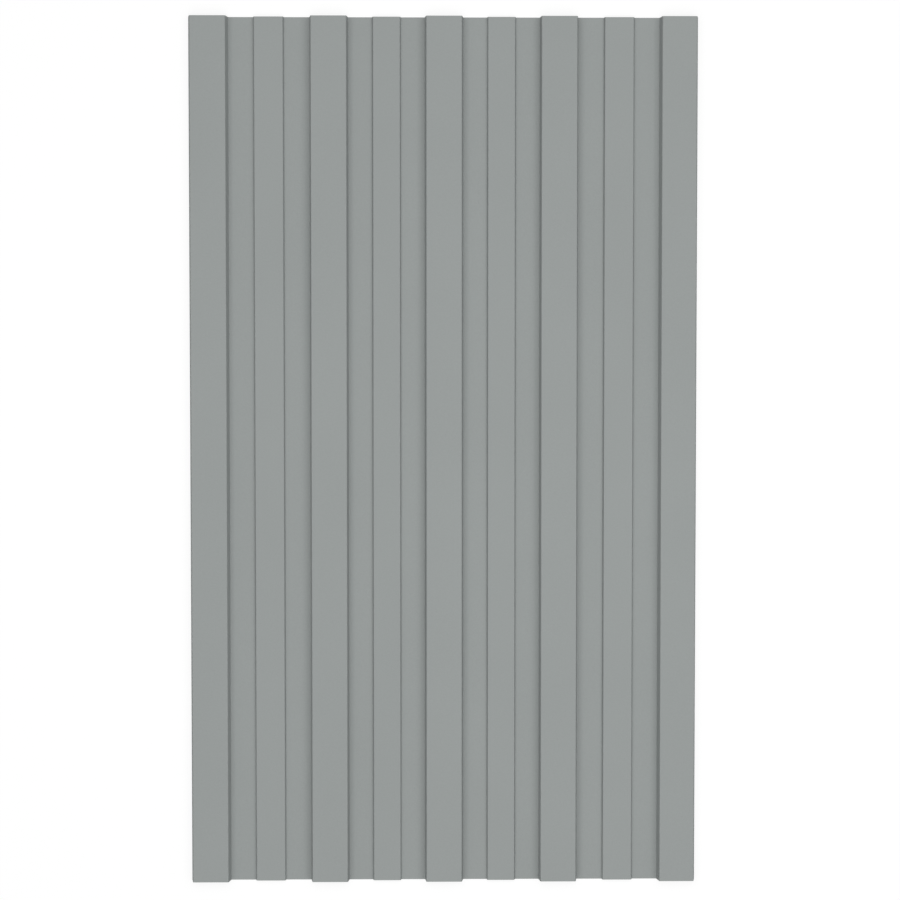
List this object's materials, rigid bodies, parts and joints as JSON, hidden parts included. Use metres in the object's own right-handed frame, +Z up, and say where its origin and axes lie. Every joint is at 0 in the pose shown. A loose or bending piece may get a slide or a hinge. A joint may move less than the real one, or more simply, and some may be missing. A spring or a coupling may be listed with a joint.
{
  "type": "corrugated metal sheet",
  "caption": "Rolled steel roofing sheet with flat-topped ribs, low stiffening ribs in the bays between them, and a satin grey coat.",
  "frame": {"origin": "on the floor under the sheet's middle: half its width, half its length, at the pans' undersides", "axes": "+X across the ribs, towards the underlap edge; +Y along the ribs; +Z up, out of the ribs' tops"},
  "size_m": [0.469, 0.8, 0.0109],
  "materials": {
    "grey_coat": "satin"
  },
  "bodies": {
    "root": {"corrugated_sheet": "grey_coat"}
  },
  "joints": []
}
